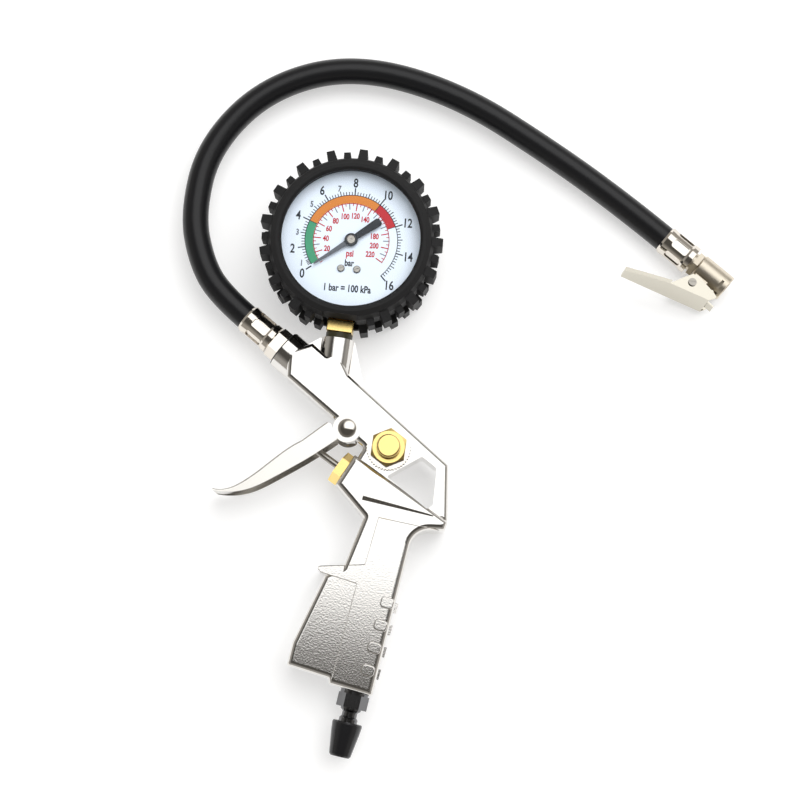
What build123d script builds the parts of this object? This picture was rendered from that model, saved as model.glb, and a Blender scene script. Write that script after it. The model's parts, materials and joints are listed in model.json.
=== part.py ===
"""Hand-held tyre inflator: pistol-grip valve gun, dial gauge, hose and clip-on chuck.

Millimetres. The tool lies on its side on the plane z = 0. The origin is the centre of the gauge
boot's back face. +Z comes out of the dial, +Y runs from the gun to the dial's twelve o'clock,
and the hose leaves the gun towards -X. Each round sub-assembly is turned in a frame of its own,
with local X along its axis.
"""
import os
from math import acos, atan2, cos, degrees, hypot, pi, radians, sin, sqrt, tan

from build123d import *

os.makedirs("parts", exist_ok=True)

# ---- driving dimensions -------------------------------------------------------------------
MID_Z = 14.0                # height of the gun's middle plane
GAP = 0.3                   # clearance between pieces that move past each other
FIT = 0.1                   # clearance between pieces that only sit together
RUNNING = 0.06              # radial clearance of a shaft in its bearing

# gauge: 63 mm case in a rubber boot
BOOT_R = 37.4
BOOT_DEPTH = 38.0
BOOT_LIP_R = 31.2
BOOT_BACK = 2.0
CASE_R = 34.0
CASE_WALL = 0.8
CASE_TOP = 33.0
LUG_PAIRS = 17
LUG_ROOT_R = 35.8
DIAL_R = 32.6
DIAL_Z = 30.0
DIAL_THICK = 0.5
SCREW_X = 3.6
SCREW_Y = -13.1
POINTER_Z = 31.6
POINTER_THICK = 0.5
LENS_THICK = 1.8
DIAL_TURN = 3.5             # the dial and its screws are turned by this much
ZERO_ANGLE = 221.0          # the pointer's direction at no pressure
POINTER_SWEEP = 264.0
MOVEMENT_RATIO = 10.0       # pointer turns for one turn of the sector
SECTOR_CENTRE = (12.3, -12.3)

# gun body
BARREL_ANGLE = -33.0
BARREL_MOUTH = (-24.0, -51.0)
BARREL_R = 9.3
BODY_HALF = 9.3             # half thickness of barrel, stem and window plate
GRIP_HALF = 12.4            # half thickness of the grip and valve housing
GRIP_RIM = 2.6              # rounding of the grip's rims
PANEL_HALF = 13.0           # half thickness over the grip's raised panels
STEM_HALF = 7.5             # half width of the stem under the gauge
STEM_TOP_Y = -43.5
SOCKET_SQUARE = 12.0        # wrench square of the gauge's brass stem
SQUARE_TOP_Y = -34.6
SQUARE_BOTTOM_Y = -40.4

# lever
PIVOT = (10.1, -84.1)
PIVOT_R = 2.0
LEVER_EYE_R = 6.4
LEVER_SHEET = 1.2
LEVER_FOLD = 0.8            # outer radius of the fold along the lever's back

# valve
VALVE_FACE = (8.0, -100.5)   # centre of the gland nut's outer face
VALVE_ANGLE = -28.5
ROD_R = 1.6
ROD_REACH = 16.5            # length of rod outside the gland nut
SEAT_AT = 24.0
CHAMBER_R = 6.2

# bleed valve
BLEED = (29.8, -90.4)

# inlet
INLET = (29.9, -200.2)
INLET_ANGLE = -95.5
GRIP_ANGLE = -98.3          # lean of the grip's rear line
PLUG_THREAD_R = 6.4

# hose and chuck
HOSE_R = 6.0
HOSE_BORE_R = 3.2
FERRULE_R = 6.9
CHUCK_ANGLE = -32.4
CHUCK_ROLL = 16.0           # the lever side is turned up by this much
CHUCK_START = (142.4, 25.8)
CHUCK_Z = 7.4
CHUCK_BORE_R = 4.05         # tyre valve stem, 7.7 mm over its thread
CHUCK_BORE_START = 29.0
CHUCK_SEAL_R = 4.6
CHUCK_SETBACK = 0.2         # the seal and the depressor end this far below the bore
CHUCK_FACE = 36.4
CHUCK_BODY_R = 6.4
CHUCK_PIVOT = (22.8, -12.3)
CHUCK_PIVOT_R = 1.5


# ---- frames -------------------------------------------------------------------------------
def axis_plane(point, angle, height, roll=0.0):
    """Frame with local X along a direction in plan and local Z up, rolled about X."""
    turn = radians(angle)
    tilt = radians(roll)
    side = (-sin(turn), cos(turn))
    up = (sin(tilt) * side[0], sin(tilt) * side[1], cos(tilt))
    return Plane(origin=(*point, height), x_dir=(cos(turn), sin(turn), 0), z_dir=up)


BARREL = axis_plane(BARREL_MOUTH, BARREL_ANGLE, MID_Z)
STEM = axis_plane((0, STEM_TOP_Y), 90.0, MID_Z)
VALVE = axis_plane(VALVE_FACE, VALVE_ANGLE, MID_Z)
INLET_AXIS = axis_plane(INLET, INLET_ANGLE, MID_Z)
CHUCK = axis_plane(CHUCK_START, CHUCK_ANGLE, CHUCK_Z, CHUCK_ROLL)


def place(frame, shape):
    """Move a shape drawn in a local frame into the row frame."""
    return frame.location * shape


# ---- shape helpers ------------------------------------------------------------------------
def slab(points, low, high, corner=0.0):
    """Plate of a plan outline between two heights.

    A point may carry the radius of its own corner; the others take the common one.
    """
    if corner:
        places = [point[:2] for point in points]
        corners = [point[2] if len(point) > 2 else corner for point in points]
        face = make_face(FilletPolyline(*places, radius=corners, close=True))
    else:
        face = make_face(Polyline(*points, close=True))
    return Pos(0, 0, low) * extrude(face, high - low)


def rim_edges(part, height):
    """Edges that lie in the horizontal plane at a height."""
    return [e for e in part.edges() if abs(e.bounding_box().min.Z - height) < 1e-4
            and abs(e.bounding_box().max.Z - height) < 1e-4]


def rounded_slab(points, low, high, corner, rim):
    """Plate with rounded plan corners and rounded upper and lower rims."""
    part = slab(points, low, high, corner)
    part = fillet(rim_edges(part, high), rim)
    return fillet(rim_edges(part, low), rim)


def disc(radius, low, high, bore=0.0, centre=(0, 0)):
    """Upright disc or ring between two heights."""
    part = Pos(*centre, (low + high) / 2) * Cylinder(radius, high - low)
    if bore:
        part -= Pos(*centre, (low + high) / 2) * Cylinder(bore, high - low + 1)
    return part


def turned(profile):
    """Solid turned about local X from a closed profile of (x, radius) points."""
    face = make_face(Polyline(*[(x, r, 0) for x, r in profile], close=True))
    return revolve(face, Axis.X)


def bar(start, end, radius, bore=0.0):
    """Round bar or tube along local X."""
    return turned([(start, bore), (start, radius), (end, radius), (end, bore)])


def hexagon_x(start, end, across_flats):
    """Hexagonal bar along local X, with one flat facing local Z."""
    part = extrude(Plane.YZ * RegularPolygon(across_flats / sqrt(3), 6), end - start)
    return Pos(start, 0, 0) * part


def hexagon_z(centre, low, high, across_flats, turn=0.0):
    """Upright hexagonal prism with chamfered top corners."""
    sketch = RegularPolygon(across_flats / sqrt(3), 6, rotation=turn)
    part = Pos(*centre, low) * extrude(sketch, high - low)
    corner_cone = Cone(across_flats / 2 + (high - low) * 2.2, across_flats / 2 - 0.3, high - low)
    return part & (Pos(*centre, (low + high) / 2) * corner_cone)


def helix_spring(radius, wire_r, low, high, turns):
    """Coil spring upright about local Z."""
    pitch = (high - low - 2 * wire_r) / turns
    path = Helix(pitch, pitch * turns, radius)
    start = Plane(origin=path @ 0, z_dir=path % 0)
    return Pos(0, 0, low + wire_r) * sweep(start * Circle(wire_r), path)


# ---- gauge --------------------------------------------------------------------------------
def boot_lug(angle, low, high, reach, width):
    """One tread block, narrower at its outer face, standing on the boot's wall."""
    base = Rectangle(width, high - low)
    tip = Rectangle(width * 0.78, (high - low) * 0.86)
    foot = Plane(origin=(LUG_ROOT_R, 0, (low + high) / 2), x_dir=(0, 1, 0), z_dir=(1, 0, 0))
    head = Plane(origin=(reach, 0, (low + high) / 2), x_dir=(0, 1, 0), z_dir=(1, 0, 0))
    block = loft([foot * base, head * tip])
    return Rot(0, 0, angle) * block


def gauge_boot():
    """Rubber boot shaped like a small tyre, closed behind, with a notch for the stem."""
    r = BOOT_R
    profile = [(0, 0), (r - 3.0, 0), (r - 0.8, 2.2), (r - 0.8, 17.2), (r - 1.6, 18.2),
               (r - 1.6, 19.4), (r - 0.2, 20.4), (r, 33.0), (r - 1.4, 36.6), (r - 3.6, BOOT_DEPTH),
               (BOOT_LIP_R + 1.2, BOOT_DEPTH), (BOOT_LIP_R, BOOT_DEPTH - 1.0),
               (BOOT_LIP_R, CASE_TOP + 2.9), (CASE_R + FIT, CASE_TOP + 2.9),
               (CASE_R + FIT, BOOT_BACK), (0, BOOT_BACK)]
    boot = revolve(make_face(Polyline(*[(x, 0, z) for x, z in profile], close=True)), Axis.Z)
    pitch = 360 / LUG_PAIRS
    half_notch = 14.0
    lugs = []
    for pair in range(LUG_PAIRS):
        front = 90 + pair * pitch
        rows = [(front, 19.0, 35.6, 41.4, 4.6), (front + pitch / 2, 19.5, 33.0, 40.4, 3.8),
                (front + pitch / 4, 2.6, 17.6, 40.4, 4.4),
                (front + pitch * 3 / 4, 4.4, 18.2, 39.6, 3.8)]
        for angle, low, high, reach, width in rows:
            off_stem = abs((angle - 270 + 180) % 360 - 180)
            if off_stem > half_notch:
                lugs.append(boot_lug(angle, low, high, reach, width))
    boot = boot.fuse(*lugs)
    notch = Pos(0, -BOOT_R, MID_Z) * Box(16.4, 11, 17.0)
    view_notch = Pos(0, -34.9 - 5.0, MID_Z + 15.0) * Box(15.4, 10.0, 30.0)
    return boot - notch - view_notch


def gauge_case():
    """Pressed steel cup that holds the movement, with a window for the socket."""
    inner = CASE_R - CASE_WALL
    low = BOOT_BACK + FIT
    cup = disc(CASE_R, low, CASE_TOP) - disc(inner, low + CASE_WALL, CASE_TOP + 1)
    return cup - Pos(0, -CASE_R, MID_Z) * Box(12.6, 8, 12.6)


def gauge_bezel():
    """Ring snapped over the case's mouth; the lens sits on its step."""
    low = CASE_TOP + FIT
    r = CASE_R
    profile = [(31.4, low), (r, low), (r, low + 2.6), (33.2, low + 2.6), (33.2, low + 0.6),
               (31.4, low + 0.6)]
    return revolve(make_face(Polyline(*[(x, 0, z) for x, z in profile], close=True)), Axis.Z)


def screw_centre(side):
    """Plan position of one of the dial's two screws."""
    turn = radians(DIAL_TURN)
    return (side * SCREW_X * cos(turn) - SCREW_Y * sin(turn),
            side * SCREW_X * sin(turn) + SCREW_Y * cos(turn))


def gauge_dial():
    """Printed disc with a hole for the arbor and two for its screws."""
    dial = disc(DIAL_R, DIAL_Z - DIAL_THICK, DIAL_Z, bore=1.6)
    for side in (-1, 1):
        dial -= disc(0.95, 0, 40, centre=screw_centre(side))
    return dial


def dial_screw(side):
    """Slotted cheese-head screw that holds the dial to the movement."""
    centre = screw_centre(side)
    head = disc(1.7, DIAL_Z + 0.02, DIAL_Z + 0.9, centre=centre)
    head = chamfer(rim_edges(head, DIAL_Z + 0.9), 0.4)
    shank = disc(0.8, DIAL_Z - 3.2, DIAL_Z + 0.02, centre=centre)
    slot = Pos(*centre, DIAL_Z + 0.9) * Rot(0, 0, 25) * Box(4, 0.45, 0.8)
    return head + shank - slot


def gauge_socket():
    """Brass stem: block inside the case, neck, wrench square and threaded end in the gun."""
    neck_end = STEM_TOP_Y - 12.0
    block = Pos(0, -27.4, MID_Z) * Box(12.0, 8.4, 11.0)
    neck = bar(8.0, 16.0, 5.2)
    length = SQUARE_TOP_Y - SQUARE_BOTTOM_Y
    square = Pos(SQUARE_BOTTOM_Y - STEM_TOP_Y + length / 2, 0, 0) * Box(
        length, SOCKET_SQUARE, SOCKET_SQUARE)
    square = chamfer(square.edges(), 0.4)
    thread = bar(neck_end - STEM_TOP_Y, 4.0, 4.8 - 0.02)
    stem = neck + square + thread - bar(neck_end - STEM_TOP_Y - 1, 17.0, 1.4)
    tube_slot = Pos(2.5, -25.0, MID_Z) * Box(8.0, 4.6, 9.2)
    return place(STEM, stem) + block - tube_slot


def bourdon_tube():
    """Flattened spring tube bent to a C, from the socket round to its free tip."""
    ring = disc(26.0, 9.6, 18.4, bore=23.2) - disc(25.6, 10.0, 18.0, bore=23.6)
    missing = [(0, 0), (60 * cos(radians(172)), 60 * sin(radians(172))), (-60, -60), (0, -60)]
    tube = ring - slab(missing, 0, 40)
    tip = disc(26.0, 9.6, 18.4, bore=23.2) & Pos(-24.2, 4.6, MID_Z) * Box(5, 1.6, 10)
    return tube + tip


def movement_frame():
    """Two brass plates joined by pillars, carrying the pointer's arbor and the sector."""
    outline = [(-6, 5), (5, 8), (17, -6), (15.5, -14.5), (5, -19.0), (-6, -19.0)]
    frame = slab(outline, 14.0, 15.0, 2.0) + slab(outline, 25.0, 26.0, 2.0)
    for centre in [(-3.6, -16.6), (3.6, -17.0), (3.6, 5.0), (14.6, -6.6)]:
        frame += disc(1.3, 14.5, 25.5, centre=centre)
    frame -= disc(0.8 + RUNNING, 0, 40)
    frame -= disc(0.8 + RUNNING, 0, 40, centre=SECTOR_CENTRE)
    for side in (-1, 1):
        frame -= disc(0.9, 24.0, 30.0, centre=screw_centre(side))
    return frame


def pointer_arbor():
    """Thin shaft with the pinion that the sector drives."""
    pinion = disc(1.6, 18.0, 22.0)
    return disc(0.8, 13.0, POINTER_Z - 0.3) + pinion


def pointer_blade():
    """Tapered tip on the pressure side and a broad tail behind the hub."""
    tip = [(2.0, -1.25), (19.6, -0.4), (20.2, 0), (19.6, 0.4), (2.0, 1.25)]
    tail = [(-2.0, -1.3), (-14.8, -1.95), (-15.8, -1.2), (-15.8, 1.2), (-14.8, 1.95),
            (-2.0, 1.3)]
    blade = slab(tip, 0, POINTER_THICK) + slab(tail, 0, POINTER_THICK)
    blade += disc(3.0, 0, POINTER_THICK)
    blade = Rot(0, 0, ZERO_ANGLE) * blade - disc(0.5, -1, 2)
    return Pos(0, 0, POINTER_Z) * blade


def pointer_hub():
    """Turned cap that presses the pointer on its arbor."""
    low = POINTER_Z + POINTER_THICK
    cap = disc(2.2, low, low + 0.7)
    hub = chamfer(rim_edges(cap, low + 0.7), 0.5) + disc(0.5, POINTER_Z - 0.3, low)
    return hub - disc(0.5, low + 0.3, low + 1)


def sector_gear():
    """Toothed sector on its own shaft; the tooth ring is drawn at its pitch line."""
    reach = hypot(*SECTOR_CENTRE) - 1.6 - FIT
    towards = degrees(atan2(-SECTOR_CENTRE[1], -SECTOR_CENTRE[0]))
    back = towards - 5.0
    ahead = towards + 4.0
    span = [(0, 0)]
    for angle in (back - POINTER_SWEEP / MOVEMENT_RATIO, back - 9.0, towards, ahead):
        span.append((30 * cos(radians(angle)), 30 * sin(radians(angle))))
    wedge = disc(reach, 19.2, 20.8) & slab(span, 18, 22)
    gear = Pos(*SECTOR_CENTRE, 0) * wedge
    gear += disc(2.2, 17.5, 22.5, centre=SECTOR_CENTRE)
    return gear + disc(0.8, 13.2, 26.6, centre=SECTOR_CENTRE)


# ---- gun body -----------------------------------------------------------------------------
UPPER_OUTLINE = [
    (-21.6, -52.6), (-11.0, -47.6), (-4.0, -52.4), (-1.5, -50.6), (2.0, -51.6), (7.4, -59.7),
    (57.4, -94.0, 1.5),
    (60.4, -119.0), (54.0, -120.5), (15.0, -101.0), (16.6, -96.0, 1.5), (18.6, -91.4, 1.5),
    (14.2, -88.6), (10.6, -89.7, 2.0), (6.4, -88.6, 2.0), (4.6, -85.0, 2.0), (4.6, -81.0, 1.0),
    (-20.6, -64.5),
]
WINDOW = [(30.4, -103.0), (45.1, -91.9, 1.5), (52.3, -96.2, 1.5), (52.9, -112.8, 1.5),
          (50.6, -115.2)]
LOWER_OUTLINE = [
    (15.2, -95.4), (60.6, -119.6, 1.0), (59.6, -123.6, 1.2), (46.0, -125.0, 9.0),
    (37.9, -200.4, 1.0), (18.4, -197.6), (17.6, -195.2, 0.4), (-1.4, -192.0, 1.2),
    (-0.4, -182.0, 6.0), (9.6, -150.5, 3.0), (17.0, -146.4, 1.5), (23.0, -122.8, 1.0),
    (8.6, -109.8),
]
PANEL_OUTLINE = [
    (29.6, -121.8), (59.0, -124.0), (62.0, -127.0), (62.0, -203.0), (24.0, -203.0),
    (18.8, -198.2), (24.2, -152.4), (15.0, -150.8), (15.0, -145.4), (26.6, -143.4),
]
SPUR_OUTLINE = [(18.0, -151.35), (7.6, -149.6), (5.2, -147.2, 1.0), (8.0, -146.6),
                (18.0, -144.9)]
STEM_RIB = [(5.0, -43.6), (7.6, -43.6), (15.6, -66.4), (5.0, -62.0)]
FORK_RIB = [(-13.0, -47.2), (-8.2, -43.6), (-5.0, -44.6), (-5.0, -54.0)]
PAD_CENTRES = [(38.8, -158.9), (37.3, -169.1), (35.9, -179.2), (34.5, -189.3)]
PIP_CENTRES = [(41.3, -160.2), (40.1, -170.2), (38.9, -180.2), (37.7, -190.2)]
FRONT_PIP = (1.2, -183.3)


def grip_pads():
    """Four raised pads on each face of the grip, and the pips on its rear edge."""
    lean = GRIP_ANGLE + 90
    pads = []
    for side in (-1, 1):
        for x, y in PAD_CENTRES:
            pad = extrude(RectangleRounded(6.0, 5.0, 1.6), 1.6)
            pad = fillet(pad.faces().sort_by(Axis.Z)[-1].edges(), 0.6)
            pad = Rot(0, 0, lean) * pad
            if side < 0:
                pad = mirror(pad, Plane.XY)
            pads.append(Pos(x, y, MID_Z + side * (PANEL_HALF - 0.9)) * pad)
    for x, y in PIP_CENTRES:
        pads.append(Pos(x, y, MID_Z) * Rot(0, 0, lean) * Box(4.4, 4.6, 11.0))
    pads.append(Pos(*FRONT_PIP, MID_Z) * Cylinder(2.0, 8.0))
    return pads


def body_casting():
    """One die casting: barrel, stem, window plate, valve housing and grip, with its bores."""
    low, high = MID_Z - BODY_HALF, MID_Z + BODY_HALF
    upper = rounded_slab(UPPER_OUTLINE, low, high, 0.4, 2.4)
    barrel = place(BARREL, bar(0, 22.0, BARREL_R))
    boss = place(STEM, Pos(-10.0, 0, 0) * Box(20.0, 2 * STEM_HALF, 2 * BODY_HALF))
    boss = fillet(boss.edges().filter_by(Axis.Y), STEM_HALF - 0.6)
    lower = rounded_slab(LOWER_OUTLINE, MID_Z - GRIP_HALF, MID_Z + GRIP_HALF, 0.6, GRIP_RIM)
    ribs = [slab(STEM_RIB, MID_Z - 2, MID_Z + 2), slab(FORK_RIB, MID_Z - 2, MID_Z + 2)]
    body = upper.fuse(barrel, boss, lower, grip_panel(), *ribs, *grip_pads())
    body -= slab(WINDOW, 0, 40, 1.0)
    for tool in bores():
        body -= tool
    for groove in crease():
        body -= groove
    return body


def grip_panel():
    """Raised panels on both faces of the grip, with the finger spur at the front."""
    low, high = MID_Z - PANEL_HALF, MID_Z + PANEL_HALF
    thick = rounded_slab(LOWER_OUTLINE, low, high, 0.6, GRIP_RIM)
    panel = slab(PANEL_OUTLINE, low, high, 0.6)
    panel = chamfer(rim_edges(panel, high), 0.35)
    panel = chamfer(rim_edges(panel, low), 0.35)
    spur = slab(SPUR_OUTLINE, low, high, 0.4)
    spur = chamfer(rim_edges(spur, high), 0.35)
    spur = chamfer(rim_edges(spur, low), 0.35)
    return (panel & thick) + spur


def bores():
    """Drillings of the casting, each drawn in the frame of its own axis."""
    passage = 1.6
    return [
        place(BARREL, bar(-1, 14.0, 5.0 + FIT) + bar(13, 46.0, 2.5)),
        place(STEM, bar(-13.0, 1, 4.8 + FIT) + bar(-22.0, -12, passage)),
        place(VALVE, bar(-6.0, 4.25, 8.6) + bar(4.2, 15.0, 5.0 + FIT) + bar(4.3, 21.0, 4.0)
              + bar(20.9, SEAT_AT + 20.0, CHAMBER_R)),
        place(INLET_AXIS, bar(-12.0, 1, PLUG_THREAD_R + FIT) + bar(-73.0, -11, 3.0)),
        disc(5.4 + FIT, MID_Z - 4.4, 40, centre=BLEED),
        place(VALVE, Pos(18.0, 6, 0) * Rot(0, 0, 90) * bar(-7, 12.0, 1.8)),
        disc(PIVOT_R + FIT, 0, 40, centre=PIVOT),
    ]


def crease():
    """Tapering V groove where the valve housing's faces meet the grip's."""
    start, end = (21.4, -114.2), (53.8, -117.9)
    angle = degrees(atan2(end[1] - start[1], end[0] - start[0]))
    length = hypot(end[0] - start[0], end[1] - start[1])
    wide = Plane.YZ * RegularPolygon(1.0, 4)
    narrow = Plane.YZ.offset(length) * RegularPolygon(0.4, 4)
    wedge = Rot(0, 0, angle) * loft([wide, narrow])
    return [Pos(*start, MID_Z + side * GRIP_HALF) * wedge for side in (-1, 1)]


# ---- lever --------------------------------------------------------------------------------
LEVER_BACK = [(2.6, -83.0), (0.6, -82.6), (-9.4, -92.3), (-20.0, -101.4), (-32.2, -113.5),
              (-39.6, -118.2), (-45.6, -119.0)]
LEVER_FRONT = [(-45.6, -119.9), (-38.4, -119.7), (-30.5, -117.4), (-19.2, -110.3),
               (-2.0, -97.0), (6.3, -89.6)]


def on_lever_back(edge):
    """Whether an edge belongs to the lever's back: it meets the point where the bend starts."""
    bend = LEVER_BACK[2]
    return any(hypot(end.X - bend[0], end.Y - bend[1]) < 0.1 for end in (edge @ 0, edge @ 1))


def lever_profile():
    """Side view of the lever's cheeks: straight back, curved front, thin lip at the tip."""
    back = Polyline(*LEVER_BACK[:3])
    back_curve = Spline(*LEVER_BACK[2:])
    tip = Line(LEVER_BACK[-1], LEVER_FRONT[0])
    front = Spline(*LEVER_FRONT)
    close = Line(LEVER_FRONT[-1], LEVER_BACK[0])
    return make_face(Wire([*back.edges(), *back_curve.edges(), *tip.edges(), *front.edges(),
                           *close.edges()]))


def trigger_lever():
    """Folded sheet channel: two cheeks that straddle the body, joined along the back."""
    inner = BODY_HALF + GAP
    outer = inner + LEVER_SHEET
    low, high = MID_Z - outer, MID_Z + outer
    eye = disc(LEVER_EYE_R, low, high, centre=PIVOT)
    solid = Pos(0, 0, low) * extrude(lever_profile(), high - low)
    folds = [e for e in rim_edges(solid, low) + rim_edges(solid, high) if on_lever_back(e)]
    solid = fillet(folds, LEVER_FOLD) + eye
    shift = (0.78 * LEVER_SHEET, -0.63 * LEVER_SHEET)
    hollow_face = Pos(*shift, 0) * lever_profile()
    hollow = Pos(0, 0, MID_Z - inner) * extrude(hollow_face, 2 * inner)
    hollow += disc(LEVER_EYE_R + 3, MID_Z - inner, MID_Z + inner, centre=PIVOT)
    mouth = [(-2.0, -97.0), (6.3, -89.6), (16.0, -92.0), (6.0, -103.0)]
    hollow += slab(mouth, MID_Z - inner, MID_Z + inner)
    hole = disc(PIVOT_R + RUNNING, 0, 40, centre=PIVOT)
    return solid - hollow - hole


def lever_pin():
    """Headed pin across the body, with a groove for its clip."""
    top = MID_Z + BODY_HALF + GAP + LEVER_SHEET + 0.2
    bottom = MID_Z - (top - MID_Z)
    shank = disc(PIVOT_R, bottom - 1.0, top, centre=PIVOT)
    groove = disc(PIVOT_R + 1, bottom - 0.75, bottom - 0.05, bore=PIVOT_R - 0.5, centre=PIVOT)
    head = disc(4.1, top, top + 0.9, centre=PIVOT)
    dome_r = 8.5
    dome = Pos(*PIVOT, top + 1.95 - dome_r) * Sphere(dome_r)
    dome &= disc(4.1, top + 0.8, top + 4, centre=PIVOT)
    return shank + head + dome - groove


def lever_pin_clip():
    """Open retaining ring in the pin's groove."""
    bottom = MID_Z - (BODY_HALF + GAP + LEVER_SHEET + 0.2)
    ring = disc(3.2, bottom - 0.7, bottom - 0.1, bore=PIVOT_R - 0.45, centre=PIVOT)
    return ring - Pos(PIVOT[0] + 3, PIVOT[1], bottom - 0.4) * Box(4, 2.4, 2)


# ---- valve --------------------------------------------------------------------------------
def gland_nut():
    """Brass hexagon that closes the valve's bore and guides the rod."""
    nut = hexagon_x(0, 4.2, 13.4) + bar(4.0, 12.0, 5.0)
    return place(VALVE, nut - bar(-1, 13, ROD_R + RUNNING) - bar(10.0, 13, 3.0))


def gland_o_ring():
    """Seal round the rod in the gland's counterbore."""
    return place(VALVE, bar(10.1, 11.9, 2.9, ROD_R + RUNNING))


def push_rod():
    """Steel rod from the lever to the poppet, with a rounded end."""
    rod = bar(-ROD_REACH + 1.2, SEAT_AT + 3.0, ROD_R)
    rod += Pos(-ROD_REACH + ROD_R, 0, 0) * Sphere(ROD_R)
    return place(VALVE, rod)


def valve_seat():
    """Brass ring that the poppet closes against."""
    return place(VALVE, bar(SEAT_AT - 2.8, SEAT_AT, CHAMBER_R - FIT, 2.4))


def poppet_seal():
    """Rubber washer on the poppet's closing face."""
    return place(VALVE, bar(SEAT_AT + 0.05, SEAT_AT + 1.2, 4.2, ROD_R))


def valve_poppet():
    """Metal backing disc with the tail that the spring sits on."""
    return place(VALVE, turned([(SEAT_AT + 1.2, ROD_R), (SEAT_AT + 1.2, 4.6),
                                (SEAT_AT + 3.0, 4.6), (SEAT_AT + 3.0, 2.2),
                                (SEAT_AT + 9.0, 2.2), (SEAT_AT + 9.0, 0),
                                (SEAT_AT + 3.0, 0), (SEAT_AT + 3.0, ROD_R)]))


def valve_spring():
    """Return spring, drawn at the length it has with the valve open."""
    spring = helix_spring(3.6, 0.5, 0, 11.0, 6)
    return place(VALVE, Pos(SEAT_AT + 3.05, 0, 0) * Rot(0, 90, 0) * spring)


# ---- bleed valve --------------------------------------------------------------------------
def bleed_lock_ring():
    """Serrated ring between the casting and the bleed valve's hexagon."""
    low = MID_Z + BODY_HALF + 0.02
    radius = 10.0
    teeth = 44
    ring = disc(radius, low, low + 2.2, bore=5.4 + FIT, centre=BLEED)
    notches = []
    for k in range(teeth):
        turn = Rot(0, 0, 360 * k / teeth) * Pos(radius, 0, 0) * Rot(0, 0, 45)
        notches.append(Pos(*BLEED, low + 1) * turn * Box(0.75, 0.75, 4))
    return ring - notches


def bleed_cap():
    """Brass hexagon body of the bleed valve, screwed into the casting."""
    low = MID_Z + BODY_HALF + 2.24
    body = hexagon_z(BLEED, low, low + 3.8, 15.0, 30.0)
    body += disc(5.4, 16.0, low + 0.1, centre=BLEED)
    body -= disc(5.3 + 0.05, 20.4, 40, centre=BLEED)
    return body - disc(1.2 + RUNNING, 10, 40, centre=BLEED)


def bleed_button():
    """Push button with its stem and the flange that closes the valve from below."""
    top = 34.2
    button = disc(5.3, 26.0, top, centre=BLEED)
    button = fillet(rim_edges(button, top), 0.9)
    return button + disc(1.2, 12.4, 26.0, centre=BLEED) + disc(3.0, 12.4, 14.0, centre=BLEED)


def bleed_seal():
    """Rubber washer on the stem's flange, shut against the hexagon body's end."""
    return disc(3.0, 14.0, 15.9, bore=1.2, centre=BLEED)


def bleed_spring():
    """Return spring under the button."""
    return Pos(*BLEED, 0) * helix_spring(3.3, 0.4, 20.45, 25.95, 4)


# ---- inlet --------------------------------------------------------------------------------
def inlet_plug():
    """Quick-coupling plug: thread in the grip, hexagon, waist, collar and nose."""
    profile = [(-10.0, 2.6), (-10.0, PLUG_THREAD_R), (0.5, PLUG_THREAD_R), (0.5, 4.6),
               (7.4, 4.6), (8.4, 3.4), (10.4, 3.4), (11.4, 4.2), (13.6, 4.2), (14.2, 3.3),
               (18.0, 3.3), (19.0, 3.9), (24.0, 3.9), (25.4, 3.2), (25.4, 2.6)]
    plug = turned(profile) + hexagon_x(0.5, 6.6, 12.0)
    return place(INLET_AXIS, plug - bar(-20, 30, 2.6))


def inlet_strainer():
    """Small mesh thimble in the plug's bore."""
    shell = bar(-9.0, -1.0, 2.5) - bar(-8.4, 0, 1.9)
    for k in range(4):
        slot = Pos(-5.0, 0, 0) * Rot(90 * k, 0, 0) * Pos(0, 0, 2.2) * Box(5.0, 1.0, 1.4)
        shell -= slot
    return place(INLET_AXIS, shell)


def plug_cap():
    """Soft tapered cap pushed over the plug's nose."""
    profile = [(13.0, 4.2 + GAP), (13.0, 6.4), (13.8, 6.8), (17.5, 6.4), (27.6, 4.9),
               (28.4, 4.3), (28.4, 0), (26.0, 0), (26.0, 3.9 + GAP), (15.0, 4.2 + GAP)]
    return place(INLET_AXIS, turned(profile))


# ---- hose ---------------------------------------------------------------------------------
HOSE_ROUTE = [
    (-42.8, -38.8, 14.0), (-57.2, -29.4, 14.0), (-67.6, -15.7, 13.8), (-75.1, 6.0, 13.3),
    (-72.7, 39.0, 12.4), (-50.1, 70.8, 11.4), (-11.8, 87.4, 10.4), (37.8, 81.0, 9.2),
    (87.6, 57.6, 8.1), (123.6, 37.73, 7.4), (142.4, 25.8, 7.4),
]


def hose_radii():
    """Largest tangent arc at each inner point of the hose's route."""
    radii = []
    for before, here, after in zip(HOSE_ROUTE, HOSE_ROUTE[1:], HOSE_ROUTE[2:]):
        first = [b - a for a, b in zip(before, here)]
        second = [b - a for a, b in zip(here, after)]
        run_in = sqrt(sum(c * c for c in first))
        run_out = sqrt(sum(c * c for c in second))
        along = sum(a * b for a, b in zip(first, second)) / (run_in * run_out)
        radii.append(0.45 * min(run_in, run_out) / tan(acos(along) / 2))
    return radii


def hose():
    """Rubber hose as straight runs joined by tangent arcs."""
    path = FilletPolyline(*HOSE_ROUTE, radius=hose_radii())
    start = Plane(origin=path @ 0, z_dir=path % 0)
    tube = sweep(start * Circle(HOSE_R), path) - sweep(start * Circle(HOSE_BORE_R), path)
    area = pi * (HOSE_R ** 2 - HOSE_BORE_R ** 2)
    print("hose radii", [round(r, 1) for r in hose_radii()])
    print("hose length", round(path.length, 2), "volume ratio",
          round(tube.volume / (area * path.length), 4))
    return tube


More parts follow.
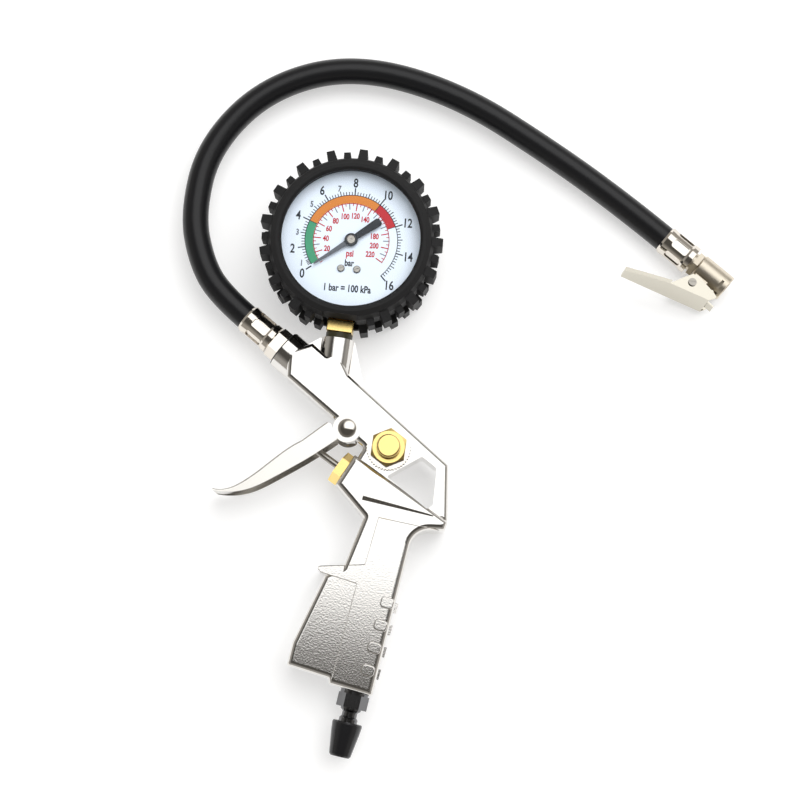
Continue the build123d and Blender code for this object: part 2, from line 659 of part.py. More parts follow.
def ferrule(roll):
    """Crimped sleeve with six pressed flats; the hose's end sits in its mouth."""
    length = 16.0
    profile = [(0.1, HOSE_R + 0.05), (0.0, HOSE_R + 0.35), (1.0, FERRULE_R), (4.0, FERRULE_R - 0.3),
               (12.6, FERRULE_R - 0.3), (13.6, FERRULE_R + 0.2), (length, FERRULE_R + 0.2),
               (length, 3.2), (0.2, 3.2), (0.2, HOSE_R + 0.05)]
    sleeve = turned(profile)
    for k in range(6):
        dent = Pos(8.4, 0, FERRULE_R - 1.2) * extrude(RectangleRounded(8.4, 4.0, 1.1), 3.0)
        sleeve -= Rot(60 * k + roll, 0, 0) * dent
    return sleeve


def gun_ferrule():
    """Sleeve on the gun's end of the hose."""
    return place(BARREL, Pos(-22.4, 0, 0) * ferrule(0.0))


def hose_nut():
    """Hexagon with a threaded end in the barrel and a tail inside the ferrule."""
    nut = hexagon_x(-5.8, -0.6, 13.2) + bar(-0.8, 12.0, 5.0) + bar(-20.0, -5.7, 3.1)
    nut += bar(-6.35, -5.7, 4.4)
    return place(BARREL, nut - bar(-21, 13, 1.9))


def hose_seal_ring():
    """Flat ring between the hose nut and the barrel's mouth."""
    return place(BARREL, bar(-0.55, -0.05, 8.8, 5.0 + FIT))


# ---- chuck --------------------------------------------------------------------------------
def chuck_ferrule():
    """Sleeve on the chuck's end of the hose."""
    return place(CHUCK, ferrule(CHUCK_ROLL))


def chuck_tail():
    """Tail inside the ferrule, with the neck and the six-sided collar outside it."""
    tail = bar(2.0, 17.0, 3.1) + bar(16.05, 17.3, 4.6) + hexagon_x(17.2, 19.6, 11.4)
    tail += bar(19.5, 23.1, 3.6)
    return place(CHUCK, tail - bar(1, 24, 1.6))


def chuck_body():
    """Clip-on chuck's barrel, open at the far end, with a lug for the lever's pin."""
    r = CHUCK_BODY_R
    shell = turned([(19.8, 0), (19.8, r - 0.6), (20.4, r), (CHUCK_FACE - 0.5, r),
                    (CHUCK_FACE, r - 0.5), (CHUCK_FACE, 0)])
    lug = [(21.4, -4.0), (21.4, -8.0), (20.3, -11.4), (20.3, -13.6), (21.6, -14.8),
           (24.2, -14.8), (25.6, -13.4), (28.2, -6.0), (28.2, -4.0)]
    shell += slab(lug, -3.4, 3.4, 0.6)
    shell -= bar(19, 23.2, 3.6 + FIT / 2)
    shell -= bar(23.1, CHUCK_BORE_START - 1.4, 3.0)
    shell -= bar(CHUCK_BORE_START - 1.5, CHUCK_BORE_START, CHUCK_SEAL_R + FIT)
    shell -= bar(CHUCK_BORE_START - 0.1, 38, CHUCK_BORE_R)
    shell -= Pos(*CHUCK_PIVOT, 0) * Cylinder(CHUCK_PIVOT_R + RUNNING, 20)
    tooth_window = [(31.4, -2.0), (33.0, -2.0), (33.4, -3.9), (35.0, -6.6), (35.0, -8.0),
                    (31.4, -8.0)]
    shell -= slab(tooth_window, -2.5, 2.5)
    side_slot = Rot(30, 0, 0) * Pos(33.2, 0, 5.9) * Box(1.3, 4.6, 2.6)
    return place(CHUCK, shell - side_slot)


def chuck_seal():
    """Rubber washer at the bottom of the chuck's bore."""
    end = CHUCK_BORE_START
    seal = bar(end - 3.0, end - 1.4, 2.95, 1.3)
    return place(CHUCK, seal + bar(end - 1.45, end - CHUCK_SETBACK, CHUCK_SEAL_R, 1.3))


def chuck_depressor():
    """Pin that pushes the tyre valve's core open, held on a three-armed spider."""
    arms_at = CHUCK_BORE_START - 3.35
    pin = bar(arms_at - 0.25, CHUCK_BORE_START - CHUCK_SETBACK, 0.9)
    for k in range(3):
        pin += Rot(120 * k, 0, 0) * Pos(arms_at, 0, 1.7) * Box(0.5, 0.7, 2.3)
    return place(CHUCK, pin)


def chuck_pivot_pin():
    """Riveted pin through the lever's ears, slotted at its head."""
    pin = Cylinder(CHUCK_PIVOT_R, 14.0)
    pin += Pos(0, 0, 7.2) * Cylinder(1.9, 0.5)
    pin += Pos(0, 0, -7.2) * Cylinder(1.9, 0.5)
    pin -= Pos(0, 0, 7.5) * Rot(0, 0, 35) * Box(5, 0.5, 0.4)
    return place(CHUCK, Pos(*CHUCK_PIVOT, 0) * pin)


def chuck_lever_spring():
    """Torsion spring round the pivot pin, one coil on each side of the body's lug."""
    springs = []
    for side in (-1, 1):
        coil = helix_spring(2.3, 0.35, 0, 1.8, 2)
        springs.append(Pos(*CHUCK_PIVOT, side * 4.7 - 0.9) * coil)
    return place(CHUCK, Compound(children=springs))


LEVER_EAR = [(15.5, -19.6), (18.4, -13.0), (20.6, -8.6), (22.8, -7.6, 1.5), (33.4, -9.4),
             (35.6, -10.2), (35.4, -11.2), (33.9, -14.0)]
LEVER_WEB = [(15.3, -19.0), (33.9, -13.1), (33.9, -14.0), (15.5, -19.9)]
HANDLE = [(-4.5, -27.0), (15.3, -19.0), (15.5, -19.9), (-4.2, -27.9)]
HANDLE_RIM = [(-4.5, -27.1), (-4.9, -26.0), (15.4, -17.8), (15.6, -19.1)]
HANDLE_TIP = [(-4.5, -27.1), (-4.9, -26.0), (-4.1, -25.7), (-3.7, -26.8)]


def handle_plan(tip_half, root_half):
    """Tapered plan of the chuck lever's handle, as a block to cut sheet to shape with."""
    plan = make_face(Polyline((-6.0, -tip_half), (15.9, -root_half), (15.9, root_half),
                              (-6.0, tip_half), close=True))
    return Pos(0, -35, 0) * (Rot(90, 0, 0) * extrude(plan, -30))


def chuck_lever():
    """Folded sheet lever: tapered handle, two ears on the pin and a tooth for the valve."""
    inner, sheet = 6.0, 0.8
    outer = inner + sheet
    tip_half = 3.3
    lever = slab(LEVER_EAR, inner, outer, 0.3) + slab(LEVER_EAR, -outer, -inner, 0.3)
    lever += slab(LEVER_WEB, -outer, outer)
    taper = handle_plan(tip_half, outer)
    lever += slab(HANDLE, -outer, outer) & taper
    lever += slab(HANDLE_RIM, -outer, outer) & (taper - handle_plan(tip_half - sheet, inner))
    lever += slab(HANDLE_TIP, -outer, outer) & taper
    tooth = [(31.8, -4.15), (32.8, -4.15), (32.8, -13.7), (31.8, -14.0)]
    lever += slab(tooth, -2.2, 2.2)
    shoulder = [(31.8, -10.4), (32.8, -10.4), (32.8, -13.7), (31.8, -14.0)]
    lever += slab(shoulder, -inner - 0.1, inner + 0.1)
    foot = [(32.6, -11.2), (37.4, -11.6), (37.4, -12.3), (32.6, -12.1)]
    lever += slab(foot, -4.0, 1.0)
    lever -= Pos(*CHUCK_PIVOT, 0) * Cylinder(CHUCK_PIVOT_R + RUNNING, 20)
    return place(CHUCK, lever)


# ---- export -------------------------------------------------------------------------------
PIECES = {
    "body_casting": body_casting,
    "lever_pin": lever_pin,
    "lever_pin_clip": lever_pin_clip,
    "trigger_lever": trigger_lever,
    "gauge_boot": gauge_boot,
    "gauge_case": gauge_case,
    "gauge_bezel": gauge_bezel,
    "lens_gasket": lambda: disc(33.1, CASE_TOP + 0.72, CASE_TOP + 1.0, bore=31.6),
    "gauge_lens": lambda: disc(33.1, CASE_TOP + 1.02, CASE_TOP + 1.02 + LENS_THICK),
    "gauge_dial": gauge_dial,
    "dial_screws": lambda: Compound(children=[dial_screw(-1), dial_screw(1)]),
    "gauge_socket": gauge_socket,
    "gauge_thread_seal": lambda: place(STEM, bar(0.05, 3.05, 6.1, 4.8)),
    "bourdon_tube": bourdon_tube,
    "movement_frame": movement_frame,
    "sector_gear": sector_gear,
    "pointer_arbor": pointer_arbor,
    "pointer_blade": pointer_blade,
    "pointer_hub": pointer_hub,
    "gland_nut": gland_nut,
    "gland_o_ring": gland_o_ring,
    "push_rod": push_rod,
    "valve_seat": valve_seat,
    "poppet_seal": poppet_seal,
    "valve_poppet": valve_poppet,
    "valve_spring": valve_spring,
    "bleed_lock_ring": bleed_lock_ring,
    "bleed_cap": bleed_cap,
    "bleed_button": bleed_button,
    "bleed_seal": bleed_seal,
    "bleed_spring": bleed_spring,
    "inlet_plug": inlet_plug,
    "inlet_strainer": inlet_strainer,
    "plug_cap": plug_cap,
    "hose_nut": hose_nut,
    "hose_seal_ring": hose_seal_ring,
    "gun_ferrule": gun_ferrule,
    "hose": hose,
    "chuck_ferrule": chuck_ferrule,
    "chuck_tail": chuck_tail,
    "chuck_body": chuck_body,
    "chuck_seal": chuck_seal,
    "chuck_depressor": chuck_depressor,
    "chuck_pivot_pin": chuck_pivot_pin,
    "chuck_lever_spring": chuck_lever_spring,
    "chuck_lever": chuck_lever,
}

for name, make in PIECES.items():
    export_step(make(), f"parts/{name}.step")
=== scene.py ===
"""Looks of the tyre inflator: finishes for the CAD pieces, the printed dial, the hose's cover,
and the table, room, lights and camera that show them.

Metres, in the frame of the CAD: origin at the centre of the gauge boot's back, +Z out of the
dial, +Y from the grip towards twelve o'clock.
"""
import json
from math import cos, radians, sin

import bpy
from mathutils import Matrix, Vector


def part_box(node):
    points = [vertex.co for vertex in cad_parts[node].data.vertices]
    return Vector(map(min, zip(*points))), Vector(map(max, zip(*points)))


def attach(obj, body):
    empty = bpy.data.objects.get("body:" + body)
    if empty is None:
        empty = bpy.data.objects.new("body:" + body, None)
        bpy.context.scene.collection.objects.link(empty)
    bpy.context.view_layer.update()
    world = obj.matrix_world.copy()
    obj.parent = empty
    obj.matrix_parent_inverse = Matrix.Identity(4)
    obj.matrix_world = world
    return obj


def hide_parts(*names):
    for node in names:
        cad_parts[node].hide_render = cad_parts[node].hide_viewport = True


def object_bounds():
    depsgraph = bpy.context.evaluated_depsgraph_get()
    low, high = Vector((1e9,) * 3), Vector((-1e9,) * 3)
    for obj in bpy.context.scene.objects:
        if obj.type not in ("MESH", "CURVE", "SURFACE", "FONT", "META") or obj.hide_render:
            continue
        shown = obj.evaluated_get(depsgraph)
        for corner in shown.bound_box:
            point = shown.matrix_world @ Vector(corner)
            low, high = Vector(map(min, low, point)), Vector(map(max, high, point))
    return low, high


MM = 0.001

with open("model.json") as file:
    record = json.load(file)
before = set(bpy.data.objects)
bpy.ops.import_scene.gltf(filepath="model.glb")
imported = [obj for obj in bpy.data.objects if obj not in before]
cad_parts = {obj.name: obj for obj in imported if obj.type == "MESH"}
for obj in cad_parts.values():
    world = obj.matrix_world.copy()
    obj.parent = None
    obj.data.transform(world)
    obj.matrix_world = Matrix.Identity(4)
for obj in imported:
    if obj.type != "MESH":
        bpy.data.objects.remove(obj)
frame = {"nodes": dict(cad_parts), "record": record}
nodes = frame["nodes"]
cad_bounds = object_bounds()

# ---- dial ---------------------------------------------------------------------------------
DIAL_TURN = 3.5             # degrees the printed face is turned on the gauge
DEGREES_PER_BAR = 17.0
DIAL_TOP_BAR = 16
ZERO_DEGREES = 221.0        # the mark for no pressure, where the pointer rests
PSI_PER_BAR = 14.504
FACE_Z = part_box("gauge_dial")[1].z
PRINT_LIFT = 0.03 * MM      # each layer of print lies this far above the one below
BAND_LAYER = 1
MARK_LAYER = 2
DEGREES_PER_STEP = 2        # about how far each facet of a printed arc turns

# ---- colour bands, from no pressure up ----------------------------------------------------
BAND_START = ZERO_DEGREES - 2.0
GREEN_END_BAR = 4
ORANGE_END_BAR = 10
RED_END_BAR = 12
BAND_INNER = 17.3 * MM
BAND_OUTER = 20.9 * MM
BAND_EDGE_WIDTH = 0.3 * MM

# ---- outer scale: the radius where a mark ends, and its width -----------------------------
MARKS_PER_BAR = 5
TWO_BAR_MARK = (24.3 * MM, 0.55 * MM)
BAR_MARK = (23.2 * MM, 0.4 * MM)
SMALL_MARK = (22.5 * MM, 0.36 * MM)
ZERO_MARK_INNER = 21.4 * MM
ZERO_MARK_WIDTH = 0.6 * MM
BAR_LINE_INNER = BAND_OUTER - 0.1 * MM
BAR_LINE_OUTER = BAND_OUTER + 0.22 * MM

# ---- inner scale: the radius where a mark starts, and its width ---------------------------
PSI_TOP = 220
PSI_PER_LONG_MARK = 20
PSI_PER_MIDDLE_MARK = 10
PSI_PER_SHORT_MARK = 5
LONG_PSI_MARK = (13.7 * MM, 0.5 * MM)
MIDDLE_PSI_MARK = (14.3 * MM, 0.4 * MM)
SHORT_PSI_MARK = (15.9 * MM, 0.34 * MM)
PSI_LINE_START = ZERO_DEGREES - 3.0
PSI_LINE_INNER = 16.9 * MM
PSI_LINE_OUTER = 17.25 * MM

# ---- figures and words: heights, and radii or places (radius, degrees) --------------------
LETTER_SHARE = 0.69         # height of a capital letter in the font's size
STROKE_GROWTH = 0.13 * MM   # how much every stroke is thickened on each side
LETTER_WIDTH = 0.75         # the figures are condensed to this share of the font's width
LETTER_STEPS = 3            # facets of each curve in a letter
EVEN_FIGURES = range(2, DIAL_TOP_BAR + 1, 2)
EVEN_HEIGHT = 4.0 * MM
EVEN_RADIUS = 26.7 * MM
ZERO_FIGURE_DEGREES = ZERO_DEGREES + 1.0
ODD_FIGURES = (1, 3, 5, 7)
ODD_HEIGHT = 2.6 * MM
ODD_RADIUS = 24.6 * MM
PSI_HEIGHT = 2.45 * MM
LOW_PSI_FIGURES = range(20, 141, 20)
LOW_PSI_RADIUS = 11.5 * MM
HIGH_PSI_FIGURES = range(180, 221, 20)  # the pointer at rest covers the place between them
HIGH_PSI_RADIUS = 10.6 * MM
UNIT_HEIGHT = 2.9 * MM
BAR_PLACE = (10.3 * MM, 273.0)
PSI_PLACE = (5.9 * MM, 272.0)
NOTE_HEIGHT = 3.1 * MM
NOTE_PLACE = (22.0 * MM, 273.0)

# ---- pointer ------------------------------------------------------------------------------
POINTER_DIRECTION = (cos(radians(ZERO_DEGREES)), sin(radians(ZERO_DEGREES)), 0.0)
POINTER_REFLECTION_START = 3.1 * MM   # the needle is painted paler from here out: a painted reflection on the dark paint

# ---- hose ---------------------------------------------------------------------------------
HOSE_ROUTE = [
    (-42.8, -38.8, 14.0), (-57.2, -29.4, 14.0), (-67.6, -15.7, 13.8), (-75.1, 6.0, 13.3),
    (-72.7, 39.0, 12.4), (-50.1, 70.8, 11.4), (-11.8, 87.4, 10.4), (37.8, 81.0, 9.2),
    (87.6, 57.6, 8.1), (123.6, 37.73, 7.4), (142.4, 25.8, 7.4),
]
HOSE_DIAMETER = 12.0 * MM
HOSE_BEVEL_STEPS = 8        # how finely the curve is divided round the hose
HOSE_SPAN_STEPS = 24        # and along each span of its route

# ---- view ---------------------------------------------------------------------------------
CAMERA_AZIMUTH = radians(8.0)
CAMERA_ELEVATION = radians(82.0)
CAMERA_DISTANCE = 0.9
CAMERA_AIM = Vector((31.6, -66.7, 14.0)) * MM
CAMERA_LENS = 89.1          # millimetres, as is the sensor's width
CAMERA_SENSOR = 36.0

# ---- light --------------------------------------------------------------------------------
ROOM_LIGHT = 1.7
BLACK = (0.0, 0.0, 0.0)
WHITE = (1.0, 1.0, 1.0)
HORIZON_COLOUR = (0.23, 0.22, 0.205)
SHADE_COLOUR = (0.05, 0.047, 0.043)
SHADE_EDGES = (0.45, 0.8)   # heights on the unit sphere between the horizon and the shade
ROOF_DIRECTION = Vector((0.18, 0.36, 0.915)).normalized()
ROOF_EDGES = (0.8, 0.905)   # cosines from the roof's middle where its light starts and is full
VIEWER_EDGES = (0.01, 0.045)    # below the first Y of a direction the viewer hides the roof
KEY_PLACE = (0.5, 0.5, 1.3)
KEY_SIZE = 1.4
KEY_POWER = 15.0
FILL_PLACE = (-0.6, -0.3, 1.3)
FILL_SIZE = 1.6
FILL_POWER = 7.0
LIGHT_AIM = Vector((0.0, -0.05, 0.0))
FLOOR_COLOUR = (0.6, 0.6, 0.6)
FLOOR_ROUGHNESS = 0.9
FLOOR_GLOW = 0.45           # the lit table's own light keeps the shadows soft
FLOOR_REACH = 3.0
FLOOR_DROP = 0.1 * MM       # the table lies this far under the tool


# ---- materials ----------------------------------------------------------------------------
GRAIN_DETAIL = 1.5          # octaves of the grain's noise


def principled(name, colour, roughness, metallic=0.0, **sockets):
    """Material with one Principled shader; extra sockets are given by their names."""
    material = bpy.data.materials.new(name)
    material.use_nodes = True
    shader = material.node_tree.nodes["Principled BSDF"]
    shader.inputs["Base Color"].default_value = (*colour, 1.0)
    shader.inputs["Roughness"].default_value = roughness
    shader.inputs["Metallic"].default_value = metallic
    for socket, value in sockets.items():
        shader.inputs[socket.replace("_", " ")].default_value = value
    return material


def grain(material, size, depth):
    """Fine random relief on a material: size and depth in metres."""
    tree = material.node_tree
    place = tree.nodes.new("ShaderNodeTexCoord")
    noise = tree.nodes.new("ShaderNodeTexNoise")
    noise.inputs["Scale"].default_value = 1.0 / size
    noise.inputs["Detail"].default_value = GRAIN_DETAIL
    bump = tree.nodes.new("ShaderNodeBump")
    bump.inputs["Strength"].default_value = 1.0
    bump.inputs["Distance"].default_value = depth
    tree.links.new(place.outputs["Object"], noise.inputs["Vector"])
    tree.links.new(noise.outputs["Fac"], bump.inputs["Height"])
    tree.links.new(bump.outputs["Normal"], tree.nodes["Principled BSDF"].inputs["Normal"])
    return material


def two_tone(material, direction, near, far, edge):
    """Colour that changes from near to far at a distance, the edge, along a direction; on the
    pointer the far colour is a painted reflection.
    """
    tree = material.node_tree
    place = tree.nodes.new("ShaderNodeTexCoord")
    along = tree.nodes.new("ShaderNodeVectorMath")
    along.operation = "DOT_PRODUCT"
    along.inputs[1].default_value = direction
    above = tree.nodes.new("ShaderNodeMath")
    above.operation = "GREATER_THAN"
    above.inputs[1].default_value = edge
    mix = tree.nodes.new("ShaderNodeMix")
    mix.data_type = "RGBA"
    mix.inputs["A"].default_value = (*near, 1.0)
    mix.inputs["B"].default_value = (*far, 1.0)
    tree.links.new(place.outputs["Object"], along.inputs[0])
    tree.links.new(along.outputs["Value"], above.inputs[0])
    tree.links.new(above.outputs["Value"], mix.inputs["Factor"])
    tree.links.new(mix.outputs["Result"], tree.nodes["Principled BSDF"].inputs["Base Color"])
    return material


# Each finish has its colour, its roughness and, for a metal, 1.0.
FINISHES = {
    "boot_rubber": grain(principled("boot_rubber", (0.012, 0.012, 0.0125), 0.6,
                                    Specular_IOR_Level=0.3), 0.8 * MM, 0.08 * MM),
    "hose_rubber": grain(principled("hose_rubber", (0.008, 0.008, 0.009), 0.32,
                                    Specular_IOR_Level=0.35), 2.5 * MM, 0.05 * MM),
    "seal_rubber": principled("seal_rubber", (0.015, 0.015, 0.015), 0.6),
    "case_steel": principled("case_steel", (0.015, 0.015, 0.016), 0.4),
    "black_ring": principled("black_ring", (0.012, 0.012, 0.013), 0.35),
    # the lens's faint pale blue colour is a painted reflection on the glass
    "lens": principled("lens", (0.6, 0.8, 1.0), 0.05, Alpha=0.015, Specular_IOR_Level=0.06),
    "dial_white": principled("dial_white", (0.8, 0.89, 1.0), 0.6, Specular_IOR_Level=0.2),
    "print_black": principled("print_black", (0.01, 0.01, 0.014), 0.6),
    "print_grey": principled("print_grey", (0.11, 0.12, 0.15), 0.6),
    "print_red": principled("print_red", (0.5, 0.006, 0.012), 0.6),
    "print_orange": principled("print_orange", (0.66, 0.21, 0.015), 0.6),
    "print_green": principled("print_green", (0.045, 0.3, 0.15), 0.6),
    # the pointer's paint is dark; the paler bluish grey along the needle is a painted
    # reflection
    "pointer_paint": two_tone(principled("pointer_paint", (0.02, 0.02, 0.02), 0.45),
                              POINTER_DIRECTION, (0.006, 0.006, 0.007), (0.09, 0.1, 0.115),
                              POINTER_REFLECTION_START),
    "screw_steel": principled("screw_steel", (0.42, 0.4, 0.36), 0.3, 1.0),
    "yellow_brass": principled("yellow_brass", (0.93, 0.7, 0.27), 0.2, 1.0),
    "thread_seal": principled("thread_seal", (0.05, 0.045, 0.02), 0.4),
    "nickel_casting": grain(principled("nickel_casting", (0.77, 0.75, 0.72), 0.1, 1.0),
                            0.75 * MM, 0.014 * MM),
    "lever_nickel": principled("lever_nickel", (0.76, 0.74, 0.7), 0.2, 1.0),
    "polished_nickel": principled("polished_nickel", (0.76, 0.71, 0.64), 0.12, 1.0),
    "warm_nickel": principled("warm_nickel", (0.76, 0.69, 0.57), 0.38, 1.0),
    "lever_sheet": principled("lever_sheet", (0.6, 0.57, 0.49), 0.16, 1.0),
    "dark_chrome": principled("dark_chrome", (0.16, 0.16, 0.165), 0.1, 1.0),
    "cap_plastic": principled("cap_plastic", (0.01, 0.01, 0.011), 0.2),
}


def finish_nodes():
    """Give each CAD piece its slot's finish, and shade the casting's broad faces as flat."""
    for entry in frame["record"]["subparts"]:
        mesh = nodes[entry["node"]].data
        mesh.materials.clear()
        mesh.materials.append(FINISHES[entry["material_slot"]])
    flat = nodes["body_casting"].modifiers.new("flat_faces", "WEIGHTED_NORMAL")
    flat.keep_sharp = True


# ---- flat print ---------------------------------------------------------------------------
def bar_degrees(bar):
    """Direction of a pressure's mark; the first bar is squeezed, as on a real dial."""
    if bar == 0:
        return ZERO_DEGREES
    return 90.0 + DIAL_TURN - DEGREES_PER_BAR * (bar - DIAL_TOP_BAR / 2)


def psi_degrees(psi):
    """Direction of a mark on the inner scale."""
    return bar_degrees(psi / PSI_PER_BAR)


def polar(radius, turn):
    """Point of the dial's face, from its distance and direction in degrees."""
    return (radius * cos(radians(turn)), radius * sin(radians(turn)))


def mark(turn, inner, outer, width):
    """Four corners of a radial mark."""
    side = (-sin(radians(turn)) * width / 2, cos(radians(turn)) * width / 2)
    near = polar(inner, turn)
    far = polar(outer, turn)
    return [(near[0] - side[0], near[1] - side[1]), (far[0] - side[0], far[1] - side[1]),
            (far[0] + side[0], far[1] + side[1]), (near[0] + side[0], near[1] + side[1])]


def arc(start, end, inner, outer):
    """Outline of a band between two directions."""
    steps = max(2, int(abs(end - start) / DEGREES_PER_STEP))
    turns = [start + (end - start) * k / steps for k in range(steps + 1)]
    return ([polar(outer, turn) for turn in turns]
            + [polar(inner, turn) for turn in reversed(turns)])


def strip_faces(first, count):
    """Quads across an outline of count points whose second half runs back beside its first."""
    half = count // 2
    return [(first + k, first + k + 1, first + count - 2 - k, first + count - 1 - k)
            for k in range(half - 1)]


def lay_on_dial(name, points, faces, slot):
    """One flat piece that the gun carries."""
    mesh = bpy.data.meshes.new(name)
    mesh.from_pydata(points, [], faces)
    mesh.materials.append(FINISHES[slot])
    piece = bpy.data.objects.new(name, mesh)
    bpy.context.scene.collection.objects.link(piece)
    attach(piece, "gun")


def printed(name, outlines, slot, layer):
    """One piece of print from closed outlines."""
    height = FACE_Z + layer * PRINT_LIFT
    points = []
    faces = []
    for outline in outlines:
        faces += strip_faces(len(points), len(outline))
        points += [(x, y, height) for x, y in outline]
    lay_on_dial(name, points, faces, slot)


def letter_shape(text, height):
    """Flat mesh of one word, written from the font."""
    curve = bpy.data.curves.new("word", "FONT")
    curve.body = text
    curve.size = height / LETTER_SHARE
    curve.offset = STROKE_GROWTH
    curve.align_x = "CENTER"
    curve.resolution_u = LETTER_STEPS
    word = bpy.data.objects.new("word", curve)
    shape = bpy.data.meshes.new_from_object(word)
    bpy.data.objects.remove(word)
    bpy.data.curves.remove(curve)
    return shape


def lettering(name, words, slot):
    """One piece of print from several words: (text, letter height, centre x, centre y)."""
    points = []
    faces = []
    turn_cos = cos(radians(DIAL_TURN))
    turn_sin = sin(radians(DIAL_TURN))
    for text, height, x, y in words:
        shape = letter_shape(text, height)
        first = len(points)
        for vertex in shape.vertices:
            u = LETTER_WIDTH * vertex.co.x
            v = vertex.co.y - height / 2
            points.append((x + u * turn_cos - v * turn_sin, y + u * turn_sin + v * turn_cos,
                           FACE_Z + MARK_LAYER * PRINT_LIFT))
        faces += [[first + i for i in face.vertices] for face in shape.polygons]
        bpy.data.meshes.remove(shape)
    lay_on_dial(name, points, faces, slot)


def numbers(values, radius, height, degrees_of):
    """Words for a scale's numbers, each centred on its mark's direction."""
    return [(str(v), height, *polar(radius, degrees_of(v))) for v in values]


def print_bands():
    """Green, orange and red bands between the two scales."""
    green = bar_degrees(GREEN_END_BAR)
    orange = bar_degrees(ORANGE_END_BAR)
    red = bar_degrees(RED_END_BAR)
    printed("band_green", [arc(BAND_START, green, BAND_INNER, BAND_OUTER)], "print_green",
            BAND_LAYER)
    printed("band_orange", [arc(green, orange, BAND_INNER, BAND_OUTER)], "print_orange",
            BAND_LAYER)
    printed("band_red", [arc(orange, red, BAND_INNER, BAND_OUTER)], "print_red", BAND_LAYER)


def print_bar_marks():
    """Marks of the outer scale, the round line they stand on and the lines between bands."""
    marks = [arc(BAND_START, bar_degrees(DIAL_TOP_BAR), BAR_LINE_INNER, BAR_LINE_OUTER)]
    for step in range(MARKS_PER_BAR + 1, MARKS_PER_BAR * DIAL_TOP_BAR + 1):
        if step % (2 * MARKS_PER_BAR) == 0:
            reach, width = TWO_BAR_MARK
        elif step % MARKS_PER_BAR == 0:
            reach, width = BAR_MARK
        else:
            reach, width = SMALL_MARK
        marks.append(mark(bar_degrees(step / MARKS_PER_BAR), BAND_OUTER, reach, width))
    for step in range(2, MARKS_PER_BAR + 1):
        turn = ZERO_DEGREES + (bar_degrees(1.0) - ZERO_DEGREES) * step / MARKS_PER_BAR
        marks.append(mark(turn, BAND_OUTER, *SMALL_MARK))
    marks.append(mark(ZERO_DEGREES, ZERO_MARK_INNER, TWO_BAR_MARK[0], ZERO_MARK_WIDTH))
    for bar in (GREEN_END_BAR, ORANGE_END_BAR, RED_END_BAR):
        marks.append(mark(bar_degrees(bar), BAND_INNER, BAND_OUTER, BAND_EDGE_WIDTH))
    printed("bar_marks", marks, "print_black", MARK_LAYER)


def psi_mark(psi, start, width):
    """Mark of the inner scale, from its start out to the bands."""
    return mark(psi_degrees(psi), start, BAND_INNER, width)


def print_psi_marks():
    """Marks of the inner scale and their round line: red, with grey marks at the odd tens."""
    red = []
    grey = []
    for psi in range(PSI_PER_SHORT_MARK, PSI_TOP + 1, PSI_PER_SHORT_MARK):
        if psi % PSI_PER_LONG_MARK == 0:
            red.append(psi_mark(psi, *LONG_PSI_MARK))
        elif psi % PSI_PER_MIDDLE_MARK == 0:
            grey.append(psi_mark(psi, *MIDDLE_PSI_MARK))
        else:
            red.append(psi_mark(psi, *SHORT_PSI_MARK))
    red.append(arc(PSI_LINE_START, psi_degrees(PSI_TOP), PSI_LINE_INNER, PSI_LINE_OUTER))
    printed("psi_marks", red, "print_red", MARK_LAYER)
    printed("psi_half_marks", grey, "print_grey", MARK_LAYER)


def print_figures():
    """Numbers of the two scales, the units' names and the line that relates two units."""
    even = numbers(EVEN_FIGURES, EVEN_RADIUS, EVEN_HEIGHT, bar_degrees)
    even.append(("0", EVEN_HEIGHT, *polar(EVEN_RADIUS, ZERO_FIGURE_DEGREES)))
    even.append(("bar", UNIT_HEIGHT, *polar(*BAR_PLACE)))
    even.append(("1 bar = 100 kPa", NOTE_HEIGHT, *polar(*NOTE_PLACE)))
    lettering("bar_numbers", even, "print_black")
    odd = numbers(ODD_FIGURES, ODD_RADIUS, ODD_HEIGHT, bar_degrees)
    lettering("bar_odd_numbers", odd, "print_grey")
    psi = numbers(LOW_PSI_FIGURES, LOW_PSI_RADIUS, PSI_HEIGHT, psi_degrees)
    psi += numbers(HIGH_PSI_FIGURES, HIGH_PSI_RADIUS, PSI_HEIGHT, psi_degrees)
    psi.append(("psi", UNIT_HEIGHT, *polar(*PSI_PLACE)))
    lettering("psi_numbers", psi, "print_red")


# ---- hose ---------------------------------------------------------------------------------
def hose_cover():
    """The hose as one smooth curve along the CAD's route."""
    curve = bpy.data.curves.new("hose_cover", "CURVE")
    curve.dimensions = "3D"
    curve.bevel_depth = HOSE_DIAMETER / 2
    curve.bevel_resolution = HOSE_BEVEL_STEPS
    curve.resolution_u = HOSE_SPAN_STEPS
    curve.use_fill_caps = True
    spline = curve.splines.new("NURBS")
    spline.points.add(len(HOSE_ROUTE) - 1)
    for point, place in zip(spline.points, HOSE_ROUTE):
        point.co = (*(Vector(place) * MM), 1.0)
    spline.order_u = 3
    spline.use_endpoint_u = True
    curve.materials.append(FINISHES["hose_rubber"])
    piece = bpy.data.objects.new("hose_cover", curve)
    bpy.context.scene.collection.objects.link(piece)
    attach(piece, "gun")
    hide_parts("hose")


# ---- stage --------------------------------------------------------------------------------
def floor():
    """Plain white table under the tool."""
    mesh = bpy.data.meshes.new("floor")
    corners = [(-FLOOR_REACH, -FLOOR_REACH, 0), (FLOOR_REACH, -FLOOR_REACH, 0),
               (FLOOR_REACH, FLOOR_REACH, 0), (-FLOOR_REACH, FLOOR_REACH, 0)]
    mesh.from_pydata(corners, [], [(0, 1, 2, 3)])
    mesh.materials.append(principled("floor_white", FLOOR_COLOUR, FLOOR_ROUGHNESS,
                                     Emission_Color=(*WHITE, 1.0),
                                     Emission_Strength=FLOOR_GLOW))
    piece = bpy.data.objects.new("floor", mesh)
    piece.location.z = cad_bounds[0][2] - FLOOR_DROP
    bpy.context.scene.collection.objects.link(piece)


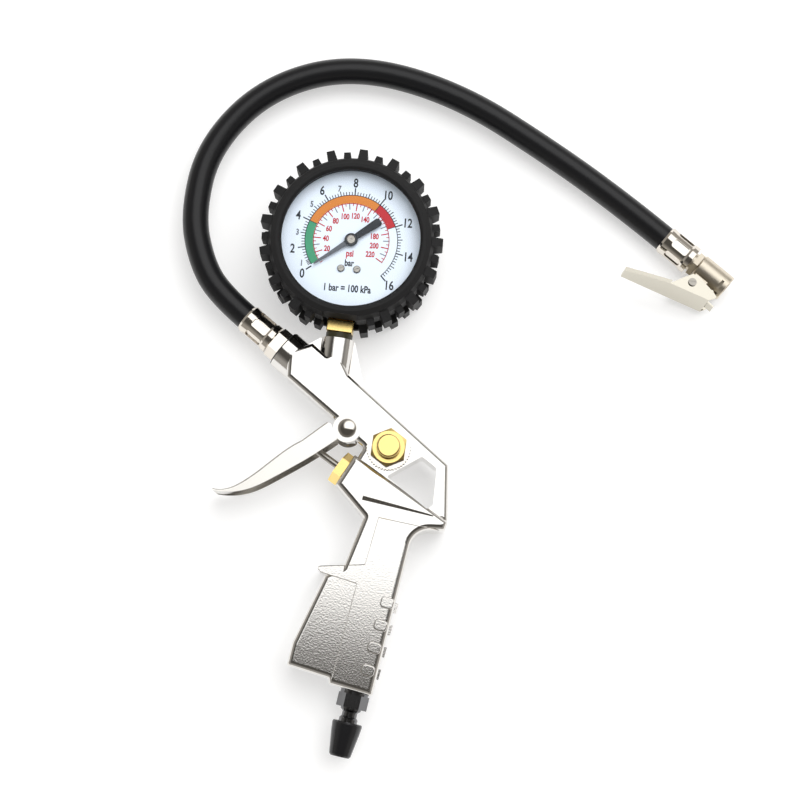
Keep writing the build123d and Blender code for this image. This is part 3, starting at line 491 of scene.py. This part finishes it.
def softbox(name, place, size, power):
    """Square area light over the table, kept out of the metals' reflections."""
    light = bpy.data.lights.new(name, "AREA")
    light.size = size
    light.energy = power
    lamp = bpy.data.objects.new(name, light)
    lamp.location = place
    lamp.rotation_euler = (LIGHT_AIM - Vector(place)).to_track_quat("-Z", "Y").to_euler()
    lamp.visible_glossy = False
    bpy.context.scene.collection.objects.link(lamp)


def ramp(tree, value, edges, first, last):
    """Colour that changes from first to last as a value passes between two edges."""
    node = tree.nodes.new("ShaderNodeValToRGB")
    stops = node.color_ramp.elements
    for stop, place, colour in zip(stops, edges, (first, last)):
        stop.position = place
        stop.color = (*colour, 1.0)
    tree.links.new(value, node.inputs["Fac"])
    return node.outputs["Color"]


def blended(tree, kind, first, second):
    """Two colours put together by one of the mix node's kinds of blending."""
    node = tree.nodes.new("ShaderNodeMix")
    node.data_type = "RGBA"
    node.blend_type = kind
    node.inputs["Factor"].default_value = 1.0
    tree.links.new(first, node.inputs["A"])
    tree.links.new(second, node.inputs["B"])
    return node.outputs["Result"]


def room():
    """What the metals reflect: a lit roof, shade round it and a dim horizon."""
    world = bpy.data.worlds.new("room")
    world.use_nodes = True
    tree = world.node_tree
    direction = tree.nodes.new("ShaderNodeTexCoord").outputs["Generated"]
    split = tree.nodes.new("ShaderNodeSeparateXYZ")
    overhead = tree.nodes.new("ShaderNodeVectorMath")
    overhead.operation = "DOT_PRODUCT"
    overhead.inputs[1].default_value = ROOF_DIRECTION
    tree.links.new(direction, split.inputs["Vector"])
    tree.links.new(direction, overhead.inputs[0])
    walls = ramp(tree, split.outputs["Z"], SHADE_EDGES, HORIZON_COLOUR, SHADE_COLOUR)
    roof = ramp(tree, overhead.outputs["Value"], ROOF_EDGES, BLACK, WHITE)
    open_side = ramp(tree, split.outputs["Y"], VIEWER_EDGES, BLACK, WHITE)
    lit = blended(tree, "MULTIPLY", roof, open_side)
    background = tree.nodes["Background"]
    background.inputs["Strength"].default_value = ROOM_LIGHT
    tree.links.new(blended(tree, "LIGHTEN", walls, lit), background.inputs["Color"])
    bpy.context.scene.world = world


def camera():
    """Camera nearly above the tool, looking down."""
    back = Vector((sin(CAMERA_AZIMUTH) * cos(CAMERA_ELEVATION),
                   -cos(CAMERA_AZIMUTH) * cos(CAMERA_ELEVATION), sin(CAMERA_ELEVATION)))
    data = bpy.data.cameras.new("camera")
    data.lens = CAMERA_LENS
    data.sensor_width = CAMERA_SENSOR
    piece = bpy.data.objects.new("camera", data)
    piece.location = CAMERA_AIM + back * CAMERA_DISTANCE
    piece.rotation_euler = (-back).to_track_quat("-Z", "Y").to_euler()
    bpy.context.scene.collection.objects.link(piece)
    bpy.context.scene.camera = piece


finish_nodes()
print_bands()
print_bar_marks()
print_psi_marks()
print_figures()
hose_cover()
floor()
room()
softbox("key_softbox", KEY_PLACE, KEY_SIZE, KEY_POWER)
softbox("fill_softbox", FILL_PLACE, FILL_SIZE, FILL_POWER)
camera()
bpy.context.scene.view_settings.view_transform = "Standard"
